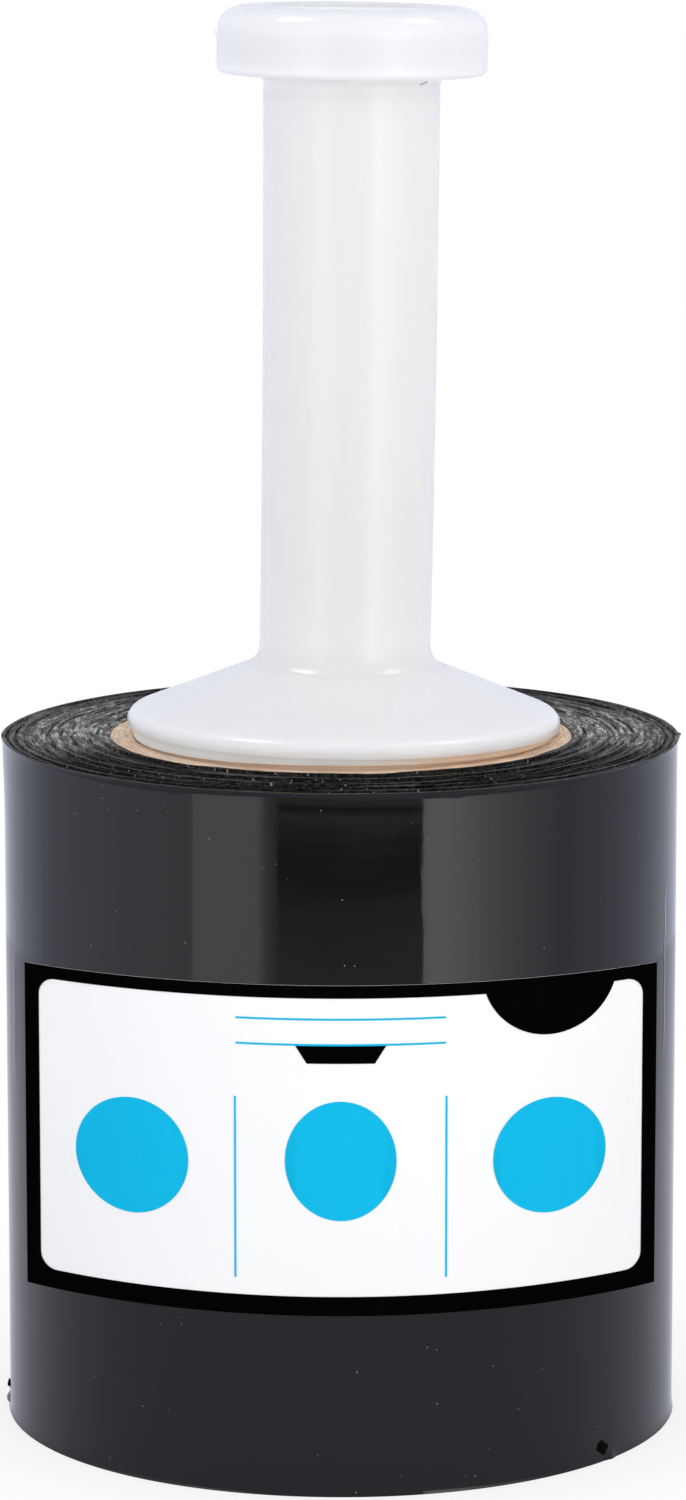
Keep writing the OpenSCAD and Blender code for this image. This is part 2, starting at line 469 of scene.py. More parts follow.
def high_lamp(name, azimuth_deg, height_deg, size, level):
    """Small bright lamp. It gives only the short highlights on the handle's round edges."""
    azimuth, height = math.radians(azimuth_deg), math.radians(height_deg)
    away = Vector((math.sin(azimuth) * math.cos(height), -math.cos(azimuth) * math.cos(height),
                   math.sin(height)))
    lamp = bpy.data.lights.new(name, "AREA")
    lamp.size = size
    lamp.energy = level * math.pi * size * size
    holder = bpy.data.objects.new(name, lamp)
    holder.location = HIGH_AIM + away * HIGH_REACH
    holder.rotation_euler = away.to_track_quat("Z", "Y").to_euler()
    holder.visible_camera = False
    holder.visible_diffuse = False
    bpy.context.scene.collection.objects.link(holder)


for number, settings in enumerate(HIGH_LAMPS):
    high_lamp(f"High lamp {number}", *settings)
print("High lamps:", len(HIGH_LAMPS))

# %% [markdown]
# ## Shared finishes
#
# Four effects turn up in more than one material: dust specks, the haze that hands leave, the fine lines of
# things wound in turns, and paper fibres. Each is a shader group with named inputs, built once.

# %% Dust specks
def dust_group():
    """Small specks scattered through space. Share of the cells hold one of this Size."""
    tree, given = shader_group("Dust Specks", ["Mask"], Cells_per_Metre=200.0, Share=0.05, Size=0.15)
    away, pick = cells_of(given["Vector"], given["Cells per Metre"])
    chosen = less(pick[0], given["Share"])
    size = mul(given["Size"], mul_add(pick[1], 0.7, 0.3))
    near = ramp(away, size, mul(size, 0.6))
    add_node(tree, "NodeGroupOutput", {"Mask": mul(chosen, near)})
    return tree


DUST = dust_group()
print("Made", DUST.name)


# %% Handling haze
def haze_group():
    """Slow patches between two values, for roughness that hands and wrapping have changed."""
    tree, given = shader_group("Handling Haze", ["Value"], Patches_per_Metre=30.0, Low=0.2, High=0.3)
    patches = noise(given["Vector"], given["Patches per Metre"], 3.0)
    add_node(tree, "NodeGroupOutput", {"Value": ramp(patches, 0.3, 0.7, given["Low"], given["High"])})
    return tree


HAZE = haze_group()
print("Made", HAZE.name)


# %% Lines of wound turns
def turns_group():
    """Rings round the Z axis. The lines run round and change along the way, as wound layers do.

    Fleck is 1 on a few short arcs, where the film's ends paint small glints.
    """
    tree, given = shader_group(
        "Wound Turns", ["Height", "Fleck"], Lines_per_Metre=2000.0, Change=2.0, Seed=0.0)
    axes = axes_of(given["Vector"])
    reach = most(reach_of(axes), 0.0001)
    around = [mul(div(axis, reach), given["Change"]) for axis in axes[:2]]
    across = mul_add(reach, given["Lines per Metre"], given["Seed"])
    point = vector(*around, across)
    away, pick = cells_of(point, 1.0)
    fleck = mul(ramp(away, 0.32, 0.12), more(pick[0], 0.86))
    add_node(tree, "NodeGroupOutput", {"Height": noise(point, 1.0, 3.0, 0.6), "Fleck": fleck})
    return tree


TURNS = turns_group()
print("Made", TURNS.name)


# %% Paper fibres
def fibres_group():
    """Short tangled fibres and slow cloudiness, as held against the light."""
    tree, given = shader_group(
        "Paper Fibres", ["Fibre", "Cloud"], Fibres_per_Metre=1500.0, Clouds_per_Metre=120.0)
    fibre = noise(given["Vector"], given["Fibres per Metre"], 2.0, distortion=1.5)
    cloud = noise(given["Vector"], given["Clouds per Metre"], 4.0)
    add_node(tree, "NodeGroupOutput", {"Fibre": fibre, "Cloud": cloud})
    return tree


FIBRES = fibres_group()
print("Made", FIBRES.name)


# %% [markdown]
# ## Wound film
#
# The film is wound so tight that its side is one glossy drum, while its two ends show the turns: bands that
# were wound a little higher or lower, with edges that wander. Such a form follows a rule, so Geometry Nodes
# make it. A flat grid is the start. Its columns go round the roll, and its rows run up one end, down the
# side and back over the other end. Formulas then move each point to its place.

# %% Finish of the film's side
FILM_BLACK, DUST_PALE = (0.0055, 0.0055, 0.0062, 1), (0.36, 0.36, 0.36, 1)
# Heights between which grit sets in below the upper rim
GRITTY_RIM = (FILM_H - 11 * MM, FILM_H - 3 * MM)


def crease_group():
    """Upright fold in the outer turn. Height is the fold, and Worn is 1 where it rubbed through."""
    tree, given = shader_group("Film Creases", ["Height", "Worn"], Angle=1.35, Low=0.066, High=0.102,
                               Width=0.0006, Radius=0.062)
    axes = axes_of(given["Vector"])
    turn = calc("ARCTAN2", axes[0], mul(axes[1], -1))
    level = vector(z=axes[2])
    sway = noise(level, 120.0, 3.0)
    off = mul(sub(turn, given["Angle"]), given["Radius"])
    off = mul_add(sub(sway, 0.5), 0.003, off)
    off = div(off, given["Width"])
    fold = calc("EXPONENT", mul(mul(off, off), -1))
    start = ramp(axes[2], given["Low"], add(given["Low"], 0.006))
    stop = ramp(axes[2], given["High"], sub(given["High"], 0.004))
    fold = mul(fold, mul(start, stop))
    dashes = noise(level, 420.0, 1.0)
    worn = mul(more(fold, 0.7), more(dashes, 0.62))
    add_node(tree, "NodeGroupOutput", {"Height": fold, "Worn": worn})
    return tree


CREASES = crease_group()
LEFT_CREASE = dict(Angle=math.radians(-74), Low=0.064, High=0.090, Width=0.0010)
RIGHT_CREASE = dict(Angle=math.radians(72), Low=0.070, High=0.103, Width=0.0005)
SMUDGE = dict(Angle=math.radians(57.5), Low=0.113, High=0.123, Width=0.0016)


def film_side_material():
    """Glossy black stretch film: upright streaks, level ripples, two creases, a smudge and dust."""
    material, shader, place = new_material("Film side", IOR=1.36)
    streaks = noise(stretched(place, (1, 1, 0.06)), 90.0, 3.0)
    wobble = noise(stretched(place, (1, 1, 0.3)), 420.0, 2.0)
    ripples = noise(stretched(place, (0.12, 0.12, 1)), 115.0, 2.0)
    height = mul_add(ripples, 0.35, streaks)
    height = mul_add(wobble, 0.10, height)
    left = use_group(CREASES, place, **LEFT_CREASE)
    right = use_group(CREASES, place, **RIGHT_CREASE)
    height = mul_add(left["Height"], 0.8, mul_add(right["Height"], 1.0, height))
    specks = use_group(DUST, place, Cells_per_Metre=420.0, Share=0.6, Size=0.055)["Mask"]
    grit = use_group(DUST, place, Cells_per_Metre=800.0, Share=0.3, Size=0.13)["Mask"]
    by_rim = ramp(axes_of(place)[2], *GRITTY_RIM)
    patchy = ramp(noise(place, 60.0), 0.45, 0.65)
    specks = most(specks, mul(grit, mul(by_rim, patchy)))
    haze = use_group(HAZE, place, Patches_per_Metre=28.0, Low=0.035, High=0.065)["Value"]
    worn = most(specks, most(left["Worn"], right["Worn"]))
    smudge = mul(use_group(CREASES, place, **SMUDGE)["Height"], wobble)
    worn = mul_add(smudge, 1.5, worn)
    feed(shader, {"Base Color": mix_colours(specks, FILM_BLACK, DUST_PALE),
                  "Roughness": mul_add(worn, 0.2, haze), "Normal": bump(height, 0.00007)})
    return material


FILM_SIDE = film_side_material()
print("Made", FILM_SIDE.name)


# %% Finish of the film's ends
# Radii between which the painted glints fade out towards the rim
GLINT_FADE_R = (60 * MM, 55 * MM)


def film_end_material():
    """Cut edges of thousands of turns: near black, with ragged rings, painted grey glints, and pale flecks
    that are painted glints and dust.
    """
    material, shader, place = new_material("Film ends", IOR=1.25, Specular_Tint=(1.0, 0.95, 0.80, 1))
    fine = use_group(TURNS, place, Lines_per_Metre=3800.0, Change=42.0, Seed=3.0)
    broad = use_group(TURNS, place, Lines_per_Metre=900.0, Change=9.0, Seed=11.0)
    ragged = noise(place, 1700.0, 3.0, 0.7)
    height = mul_add(broad["Height"], 1.6, fine["Height"])
    height = mul_add(ragged, 1.2, height)
    speckle = ramp(ragged, 0.42, 0.60, 0.25)
    tone = ramp(fine["Height"], 0.42, 0.66)
    turns = mix_colours(mul(tone, speckle), (0.0015, 0.0015, 0.001, 1), (0.075, 0.074, 0.062, 1))

    # Painted glints: the cut edges are painted pale in arcs towards the left and right sides, less at the
    # front and near the rim
    axes = axes_of(place)
    reach = reach_of(axes)
    side = calc("POWER", calc("ABSOLUTE", div(axes[0], reach)), 4.0)
    past = ramp(div(axes[1], reach), -0.52, -0.10)
    side = mul(side, past)
    inner = ramp(reach, *GLINT_FADE_R, 0.25)
    painted_glint = ramp(broad["Height"], 0.40, 0.52, 0.25)
    painted_glint = mul(mul(painted_glint, mul(side, inner)), mul_add(tone, 1.3, 0.5))
    arcs = use_group(TURNS, place, Lines_per_Metre=1250.0, Change=9.0, Seed=47.0)["Height"]
    arcs = ramp(arcs, 0.46, 0.59, 0.18)
    arcs = mul(arcs, mul_add(speckle, 0.5, 0.5))
    turns = mix_colours(mul(painted_glint, arcs), turns, (0.95, 0.93, 0.84, 1))
    # Painted glints in small flecks, joined with pale dust
    flecks = use_group(TURNS, place, Lines_per_Metre=2600.0, Change=62.0, Seed=29.0)["Fleck"]
    dust = use_group(DUST, place, Cells_per_Metre=900.0, Share=0.22, Size=0.22)["Mask"]
    pale = most(mul(flecks, 0.8), dust)
    haze = use_group(HAZE, place, Patches_per_Metre=90.0, Low=0.42, High=0.62)["Value"]
    feed(shader, {"Base Color": mix_colours(pale, turns, (0.50, 0.48, 0.42, 1)), "Roughness": haze,
                  "Normal": bump(height, 0.0009)})
    return material


FILM_END = film_end_material()
print("Made", FILM_END.name)


# %% Geometry Nodes tree of the wound film
FILM_SOCKETS = {
    "Core Radius": 0.0426, "Film Radius": 0.062, "Height": 0.127, "Bands": 30, "Side Rows": 70,
    "Columns": 400, "Band Depth": 0.001, "Crown": 0.0005, "Edge Bead": 0.0004, "Slackness": 0.0001,
    "Seed": 5.0, "Side Finish": "Material", "End Finish": "Material"}


def either(flag, first, second):
    """The first value where the flag is 1, and the second where it is 0."""
    return add(mul(flag, first), mul(sub(1, flag), second))


def wander(around, level, scale):
    """A smooth value from 0 to 1 that changes round the roll and from level to level."""
    return noise(vector(mul(around[0], scale), mul(around[1], scale), level), 1.0)


def wound_film_tree():
    """A grid bent into a hollow drum whose two ends are stepped in wandering bands."""
    tree = bpy.data.node_groups.new("Wound Film", "GeometryNodeTree")
    add_sockets(tree, "INPUT", FILM_SOCKETS)
    add_sockets(tree, "OUTPUT", {"Geometry": "Geometry"})
    given = add_node(tree, "NodeGroupInput").outputs

    # Rows: up one end, down the side, over the other end and back to the first row
    end_rows = mul(given["Bands"], 2)
    all_rows = mul_add(end_rows, 2, given["Side Rows"])
    grid = add_node(tree, "GeometryNodeMeshGrid", {
        "Size X": given["Columns"], "Size Y": all_rows,
        "Vertices X": add(given["Columns"], 1), "Vertices Y": add(all_rows, 1)})
    place = axes_of(add_node(tree, "GeometryNodeInputPosition").outputs[0])
    column = calc("ROUND", mul_add(given["Columns"], 0.5, place[0]))
    row = calc("ROUND", mul_add(all_rows, 0.5, place[1]))
    row = calc("FLOORED_MODULO", row, all_rows)

    # Which part of the drum a row belongs to
    side_end = add(end_rows, given["Side Rows"])
    past_end = more(row, sub(end_rows, 0.5))
    on_foot = more(row, sub(side_end, 0.5))
    on_side = sub(past_end, on_foot)

    # Direction round the roll, as a cosine and a sine
    angle = mul(div(column, given["Columns"]), -2 * math.pi)
    around = [calc("COSINE", angle), calc("SINE", angle)]

    # Band of turns: two rows each, one at its inner edge and one at its outer edge
    from_foot = sub(sub(all_rows, 1), row)
    end_row = either(on_foot, from_foot, row)
    band = calc("FLOOR", mul_add(end_row, 0.5, 0.1))
    edge = sub(end_row, band)
    seed = mul_add(on_foot, 71, given["Seed"])
    drawn, shifted = (
        add_node(tree, "ShaderNodeTexWhiteNoise", {"W": number}, noise_dimensions="1D").outputs["Value"]
        for number in (mul_add(band, 3.7, seed), mul_add(edge, 5.3, seed)))

    # How far a band lies back from the end. The outer band lies at the end, and the roll stands on it.
    drift = wander(around, mul_add(band, 2.3, seed), 3.0)
    back = mul_add(drift, 1.5, mul_add(drawn, 0.9, -0.75))
    slant = mul(sub(edge, band), 0.12)
    back = most(sub(back, slant), 0)
    outer = more(band, sub(given["Bands"], 1.5))
    back = mul(back, sub(1, outer))
    back = mul(back, given["Band Depth"])
    inward = sub(1, div(edge, given["Bands"]))
    crown = mul(inward, given["Crown"])
    head_z = add(sub(given["Height"], back), crown)
    end_z = either(on_foot, back, head_z)

    # Height on the side, with its rows closer together near both ends
    down = div(sub(row, end_rows), sub(given["Side Rows"], 1))
    crowd = mul(calc("SINE", mul(down, 2 * math.pi)), -0.85 / (2 * math.pi))
    down = add(down, crowd)
    side_z = mul(given["Height"], sub(1, down))
    z = either(on_side, side_z, end_z)

    # Outer radius: slightly slack turns, and a bead where the film's thicker edges pile up
    slack = wander(around, mul(z, 14), 1.6)
    uneven = wander(around, seed, 1.1)
    from_top = sub(given["Height"], z)
    bead = calc("EXPONENT", mul(least(from_top, z), -1300))
    bead = mul(mul(bead, given["Edge Bead"]), mul(uneven, 2))
    rim = add(add(given["Film Radius"], bead), mul(sub(slack, 0.5), given["Slackness"]))

    # Radius of a band's edge, kept in order by jitter of less than half a band
    inside = mul(more(edge, 0.5), less(edge, sub(given["Bands"], 0.5)))
    wave = wander(around, mul_add(edge, 1.9, seed), 1.3)
    jitter = mul_add(sub(wave, 0.5), 1.1, mul(sub(shifted, 0.5), 0.6))
    share = div(mul_add(jitter, inside, edge), given["Bands"])
    span = sub(rim, given["Core Radius"])
    end_r = mul_add(span, share, given["Core Radius"])
    radius = either(on_side, rim, end_r)

    # The side and the ends get their own finish while the rows are still known
    painted = add_node(tree, "GeometryNodeSetMaterial", {
        "Geometry": grid.outputs["Mesh"], "Material": given["End Finish"]})
    painted = add_node(tree, "GeometryNodeSetMaterial", {
        "Geometry": painted.outputs[0], "Material": given["Side Finish"],
        "Selection": more(on_side, 0.9)})
    point = vector(mul(radius, around[0]), mul(radius, around[1]), z)
    moved = add_node(tree, "GeometryNodeSetPosition", {"Geometry": painted.outputs[0], "Position": point})
    merged = add_node(tree, "GeometryNodeMergeByDistance", {
        "Geometry": moved.outputs[0], "Distance": MERGE_DISTANCE})
    solid = add_node(tree, "GeometryNodeRealizeInstances", {"Geometry": merged.outputs[0]})
    add_node(tree, "NodeGroupOutput", {"Geometry": solid.outputs[0]})
    return tree


def grow(name, tree, values):
    """Runs a Geometry Nodes tree with the given inputs and returns its result as a plain mesh."""
    carrier = bpy.data.objects.new(name + "_carrier", bpy.data.meshes.new(name))
    bpy.context.scene.collection.objects.link(carrier)
    modifier = carrier.modifiers.new("Grow", "NODES")
    modifier.node_group = tree
    for item in tree.interface.items_tree:
        if item.in_out == "INPUT" and item.name in values:
            modifier[item.identifier] = values[item.name]
    ready = carrier.evaluated_get(bpy.context.evaluated_depsgraph_get())
    mesh = bpy.data.meshes.new_from_object(ready)
    bpy.data.objects.remove(carrier)
    for index in reversed(range(len(mesh.materials))):
        if mesh.materials[index] is None:
            mesh.materials.pop(index=index)
    return mesh


film_mesh = grow("wound_film", wound_film_tree(), {
    "Core Radius": CORE_R, "Film Radius": FILM_R, "Height": FILM_H, "Bands": 30, "Side Rows": 70,
    "Columns": 480, "Band Depth": 1.0 * MM, "Crown": 0.5 * MM, "Edge Bead": 0.20 * MM,
    "Slackness": 0.16 * MM, "Seed": 5.0, "Side Finish": FILM_SIDE, "End Finish": FILM_END})

# Flaws of the film as (degrees round from +X, height, reach, outward amount), in degrees and millimetres
FLAWS = [(0, 127, 1.3, 0.6), (180, 127, 9.0, 0.35), (180, 0.6, 1.2, 0.7), (-38, 0.4, 1.0, 0.5),
         (-118, 127, 1.1, 0.08), (-71, 127, 0.9, 0.06), (166, 84, 4.0, -0.25), (172, 72, 5.0, -0.3),
         (8, 95, 4.0, -0.2), (5, 76, 5.0, -0.25)]


def dent(spots):
    """Pushes points of the film's side in or out around each flaw."""
    reach = np.hypot(spots[:, 0], spots[:, 1])
    outside = np.clip((reach - FILM_R) / (0.8 * MM) + 2, 0, 1)
    grow_by = np.zeros(len(spots))
    for degrees, height, size, amount in FLAWS:
        angle = math.radians(degrees)
        centre = np.array([FILM_R * math.cos(angle), FILM_R * math.sin(angle), height * MM])
        away = np.linalg.norm(spots - centre, axis=1) / (size * MM)
        grow_by += amount * MM * np.exp(-away ** 2)
    spots[:, :2] *= (1 + outside * grow_by / reach)[:, None]


move_points(film_mesh, dent)
wound_film = finish_mesh("wound_film", film_mesh, [])
print("Finishes on the film:", [m.name for m in wound_film.data.materials])

# %% Torn bits of film at the foot
# Direction from +X, height in millimetres, three radii
TUFTS = [(math.radians(181), 3.6, (0.55, 0.7, 1.1)), (math.radians(-40.2), 2.6, (0.6, 1.5, 1.3))]
TUFT_SEED, CRUMPLED = 40, (0.55, 1.15)
TUFT_BLACK = new_material("Torn film", IOR=1.1, Roughness=0.8, Base_Color=(0.002, 0.002, 0.002, 1))[0]


def tuft(number, angle, height, radii):
    """Small crumpled bit of film. Its radii in millimetres are outwards, round the roll and upwards."""
    form = bmesh.new()
    bmesh.ops.create_icosphere(form, subdivisions=2, radius=1.0)
    draw = np.random.default_rng(TUFT_SEED + number)
    for vertex in form.verts:
        vertex.co *= draw.uniform(*CRUMPLED)
        out, along, up = (c * r * MM for c, r in zip(vertex.co, radii))
        out += FILM_R + 0.1 * MM
        vertex.co = (out * math.cos(angle) - along * math.sin(angle),
                     out * math.sin(angle) + along * math.cos(angle), height * MM + up)
    name = f"film_tuft_{number}"
    return finish_mesh(name, mesh_of(form, name), [TUFT_BLACK], smooth_angle=5)


for number, (angle, height, radii) in enumerate(TUFTS):
    bit = tuft(number, angle, height, radii)
    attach(bit, "roll")

# %% Put the film on its body
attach(wound_film, "roll")
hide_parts("film_roll")

# %% [markdown]
# ## Paper core
#
# The core is a tube wound from strips of brown paper. Its cut end shows as a pale ring between the film and
# the handle. A lathed outline gives the wall, its slightly soft edges and the rough cut, and the material
# adds the layers of paper.

# %% Finish of the core
def core_material():
    """Brown paper board: fibres, clouds, and the layers that show on the cut ends."""
    material, shader, place = new_material("Core board", IOR=1.45, Specular_IOR_Level=0.25)
    paper = use_group(FIBRES, place, Fibres_per_Metre=1800.0, Clouds_per_Metre=160.0)
    layers = use_group(TURNS, place, Lines_per_Metre=2600.0, Change=9.0, Seed=23.0)["Height"]
    cloud = ramp(paper["Cloud"], 0.3, 0.7)
    board = mix_colours(cloud, (0.78, 0.54, 0.38, 1), (0.93, 0.74, 0.56, 1))
    lines = ramp(layers, 0.35, 0.6, 0.62, 1.0)
    toned = add_node(place.id_data, "ShaderNodeVectorMath", {0: board, 3: lines}, operation="SCALE")
    height = add(paper["Fibre"], mul(layers, 1.5))
    feed(shader, {"Base Color": toned.outputs[0], "Roughness": 0.85, "Normal": bump(height, 0.0002, 0.8)})
    return material


CORE_BOARD = core_material()
print("Made", CORE_BOARD.name)


# %% The core's wall
def refined(outline, step):
    """The same outline with long straight stretches cut into shorter ones."""
    result = []
    for first, second in zip(outline, outline[1:] + outline[:1]):
        pieces = max(1, round(math.dist(first, second) / step))
        for piece in range(pieces):
            t = piece / pieces
            result.append((first[0] + (second[0] - first[0]) * t, first[1] + (second[1] - first[1]) * t))
    return result


CORE_EDGE_R, CORE_GAP, CUT_RAGGED = 0.35 * MM, 0.03 * MM, 0.10 * MM
CORE_COLUMNS, HANDLE_COLUMNS = 256, 192


def core_outline():
    """Section of the core's wall with softly rounded edges."""
    inner, outer, e = CORE_R - CORE_WALL, CORE_R - CORE_GAP, CORE_EDGE_R
    middles = [(outer - e, e), (outer - e, FILM_H - e), (inner + e, FILM_H - e), (inner + e, e)]
    return [point for quarter, middle in enumerate(middles)
            for point in arc(middle, e, 90 * quarter - 90, 90 * quarter, 4)]


def ragged_cut(radius, height, angle):
    """Lowers the cut end here and there, where the knife left it uneven."""
    if FILM_H - height < 2 * CORE_EDGE_R:
        waves = math.sin(3 * angle + 1) * 0.4 + math.sin(7 * angle + 40 * radius * 1000) * 0.3
        height -= CUT_RAGGED * (0.7 + waves)
    return radius, height


core_form = lathe(refined(core_outline(), 4 * MM), whole_turn(CORE_COLUMNS), shape=ragged_cut)
paper_core = mesh_piece("paper_core", *core_form, [CORE_BOARD])
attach(paper_core, "roll")
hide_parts("core")

# %% [markdown]
# ## Handle
#
# The handle is blow moulded: a soft tube of milky plastic is closed in a mould and blown out against its
# walls. So it is one hollow skin with soft corners, a pinched seam in the knob's dish and under the plug,
# and a faint parting line on both sides. The outline below is the one of the solid handle. Turning it once
# for the outside and once, moved in by the wall, for the inside gives a true shell, which light can enter.

# %% Finish of the handle
# A scratch under the knob, the thin foot ring with the board's tan and a glow painted on it, the neck under
# the knob with a painted glow that lifts its shade, and the grip painted warmer than the bluer flange and
# knob, a painted light tint
SCRATCH = (14.2 * MM, 15.6 * MM)
SCRATCH_Z, SCRATCH_RISE, SCRATCH_W = 246.9 * MM, 0.25 * MM, 0.13 * MM
RING_FROM, RING_TO, RING_H, RING_TUCKED = 36 * MM, 39.3 * MM, 2.35 * MM, 38.05 * MM
FOOT_PAINTED_GLOW, BOARD_PAINTED_GLOW = (0.055, 0.085, 0.085, 1), (0.082, 0.058, 0.043, 1)
NECK_AT, NECK_PAINTED_GLOW, NECK_REACH = HANDLE_TOP - 12.2 * MM, (0.13, 0.125, 0.13, 1), 20 * MM
NECK_FADE, BOARD_FADE = (2.6 * MM, 0.4 * MM), (3 * MM, 20 * MM)
WARM_FROM, WARM_TO = (8 * MM, 18 * MM), (122 * MM, 118 * MM)


def handle_material():
    """Milky plastic with a satin skin. Light enters it and glows through the thin wall. Its colour also
    carries painted light: glows on the foot ring and the neck, and a warmer tint on the grip.
    """
    material, shader, place = new_material(
        "Milky plastic", IOR=1.50, Specular_IOR_Level=0.3, Subsurface_Weight=0.8, Subsurface_Scale=0.007,
        Subsurface_Radius=(1.0, 1.0, 1.05))
    waves = noise(stretched(place, (1, 1, 0.35)), 55.0, 2.0)
    grain = noise(place, 1400.0, 2.0)
    height = mul_add(grain, 0.02, waves)
    cloud = noise(place, 35.0, 2.0)
    milky = mix_colours(cloud, (0.885, 0.885, 0.868, 1), (0.90, 0.897, 0.875, 1))
    specks = use_group(DUST, place, Cells_per_Metre=180.0, Share=0.03, Size=0.05)["Mask"]
    axes = axes_of(place)
    above = sub(axes[2], FILM_H)
    # Painted light tint: the grip warmer, the flange and the knob bluer
    painted_grip_tint = mul(ramp(above, *WARM_FROM), ramp(above, *WARM_TO))
    milky = mix_colours(painted_grip_tint, (0.85, 0.875, 0.895, 1), milky)
    along = ramp(axes[0], *SCRATCH, -1.0, 1.0, clamp=False)
    off = sub(axes[2], mul_add(along, SCRATCH_RISE, SCRATCH_Z))
    off = div(calc("ABSOLUTE", off), SCRATCH_W)
    scratch = less(most(off, calc("ABSOLUTE", along)), 1.0)
    scratch = mul(scratch, less(axes[1], 0.0))
    milky = mix_colours(scratch, milky, (0.20, 0.21, 0.23, 1))

    # The foot ring is painted with the board's tan on the right and on the plug's wall in the gap under it,
    # as if the board showed through the thin ring. It also has a painted glow that lifts its shade: pale
    # where it stands clear of the board, tan over it
    reach = reach_of(axes)
    ring = mul(mul(more(reach, RING_FROM), less(reach, RING_TO)), less(axes[2], FILM_H + RING_H))
    board_tan_painted = most(ramp(axes[0], *BOARD_FADE), less(reach, RING_TUCKED))
    milky = mix_colours(mul(ring, board_tan_painted), milky, (0.86, 0.64, 0.47, 1))
    # Painted glow at the neck under the knob, which lifts the shade there
    neck = ramp(calc("ABSOLUTE", sub(above, NECK_AT)), *NECK_FADE)
    neck = mul(neck, less(reach, NECK_REACH))
    glow = mix_colours(ring, mix_colours(neck, (0, 0, 0, 1), NECK_PAINTED_GLOW),
                       mix_colours(board_tan_painted, FOOT_PAINTED_GLOW, BOARD_PAINTED_GLOW))
    haze = use_group(HAZE, place, Patches_per_Metre=40.0, Low=0.17, High=0.23)["Value"]
    feed(shader, {"Base Color": mix_colours(specks, milky, (0.5, 0.5, 0.5, 1)), "Roughness": haze,
                  "Emission Color": glow, "Emission Strength": 1.0, "Normal": bump(height, 0.0004, 0.7)})
    return material


MILKY = handle_material()
print("Made", MILKY.name)


# %% Outline of the handle
PLUG_R, PLUG_L, PLUG_EDGE_R, PLUG_DRAFT = 37.5 * MM, 42 * MM, 4 * MM, 0.3 * MM
FOOT_R, FOOT_H, RIM_H = 38.7 * MM, 1.2 * MM, 0.8 * MM
SHOULDER_R, FLANGE_SLOPE, FLANGE_FILLET_R = 2.4 * MM, math.radians(22), 4.3 * MM
GRIP_FOOT_R, GRIP_TOP_R = 15.6 * MM, 15.95 * MM
KNOB_R, KNOB_H, KNOB_EDGE_R, KNOB_CORNER_R, KNOB_FILLET_R = 24.45 * MM, 12.2 * MM, 4.7 * MM, 1.4 * MM, 2 * MM
DISH_R, DISH_DEPTH, WALL = 14.5 * MM, 0.7 * MM, 1.8 * MM
SEAM_W, SEAM_H, NEEDLE_D = 1 * MM, 0.5 * MM, 3 * MM
NUB_AT, NUB_RADII = (-KNOB_R, 0, 0.2545), (0.4 * MM, 0.5 * MM, 0.7 * MM)
LEAST_R = 0.3 * MM


def handle_outline(t):
    """Half outline, from the middle under the plug up to the middle of the dish, moved in by t."""
    slope_deg = math.degrees(FLANGE_SLOPE)
    rise, run = math.sin(FLANGE_SLOPE), math.cos(FLANGE_SLOPE)
    knob_z = HANDLE_TOP - KNOB_H
    plug_edge = max(PLUG_EDGE_R - t, LEAST_R)
    rim_foot = FOOT_H + min(t, RIM_H)
    shoulder = max(SHOULDER_R - t, LEAST_R)
    shoulder_c = (HANDLE_RIM_R - t - shoulder, FOOT_H + RIM_H)
    slope_top = (shoulder_c[0] + shoulder * rise, shoulder_c[1] + shoulder * run)
    fillet = FLANGE_FILLET_R + t
    fillet_x = GRIP_FOOT_R - t + fillet
    fillet_y = slope_top[1] + (fillet - (fillet_x - slope_top[0]) * rise) / run
    neck = KNOB_FILLET_R + t
    corner = max(KNOB_CORNER_R - t, LEAST_R)
    edge = max(KNOB_EDGE_R - t, LEAST_R)
    dish_z = HANDLE_TOP - DISH_DEPTH - t
    return (
        [(0, t - PLUG_L)]
        + arc((PLUG_R - PLUG_DRAFT - t - plug_edge, t - PLUG_L + plug_edge), plug_edge, -90, 0, 10)
        + [(PLUG_R - t, t), (FOOT_R - t, t), (FOOT_R - t, rim_foot), (HANDLE_RIM_R - t, rim_foot)]
        + arc(shoulder_c, shoulder, 0, 90 - slope_deg, 14)
        + arc((fillet_x, fillet_y), fillet, 270 - slope_deg, 180, 12)
        + arc((GRIP_TOP_R - t + neck, knob_z + t - neck), neck, 180, 90, 8)
        + arc((KNOB_R - t - corner, knob_z + t + corner), corner, -90, 0, 6)
        + arc((KNOB_R - t - edge, HANDLE_TOP - t - edge), edge, 0, 90, 14)
        + [(DISH_R + 2 * DISH_DEPTH, HANDLE_TOP - t), (DISH_R, dish_z), (0, dish_z)]
    )


def refined_open(outline, step):
    """Cuts the long stretches of an open outline, and keeps its last point."""
    return refined(outline + outline[-1:], step)[:-1] + [outline[-1]]


print("The outline has", len(handle_outline(0)), "points")

# %% Shell of the handle
PARTING_H = 0.1 * MM
PARTING_W = 0.012


def handle_angles():
    """Columns round the handle, with three close together on each side for the mould's parting line."""
    ends = [side + off for side in (0, math.pi) for off in (-PARTING_W, PARTING_W)]
    return sorted(a % (2 * math.pi) for a in whole_turn(HANDLE_COLUMNS) + ends)


def parting_line(radius, height, angle):
    """Raises the line where the two halves of the mould met, above the foot ring."""
    on_line = min(abs(angle), abs(angle - math.pi)) < PARTING_W / 2
    if on_line and height > FILM_H + FOOT_H and radius > DISH_R:
        radius += PARTING_H
    return radius, height


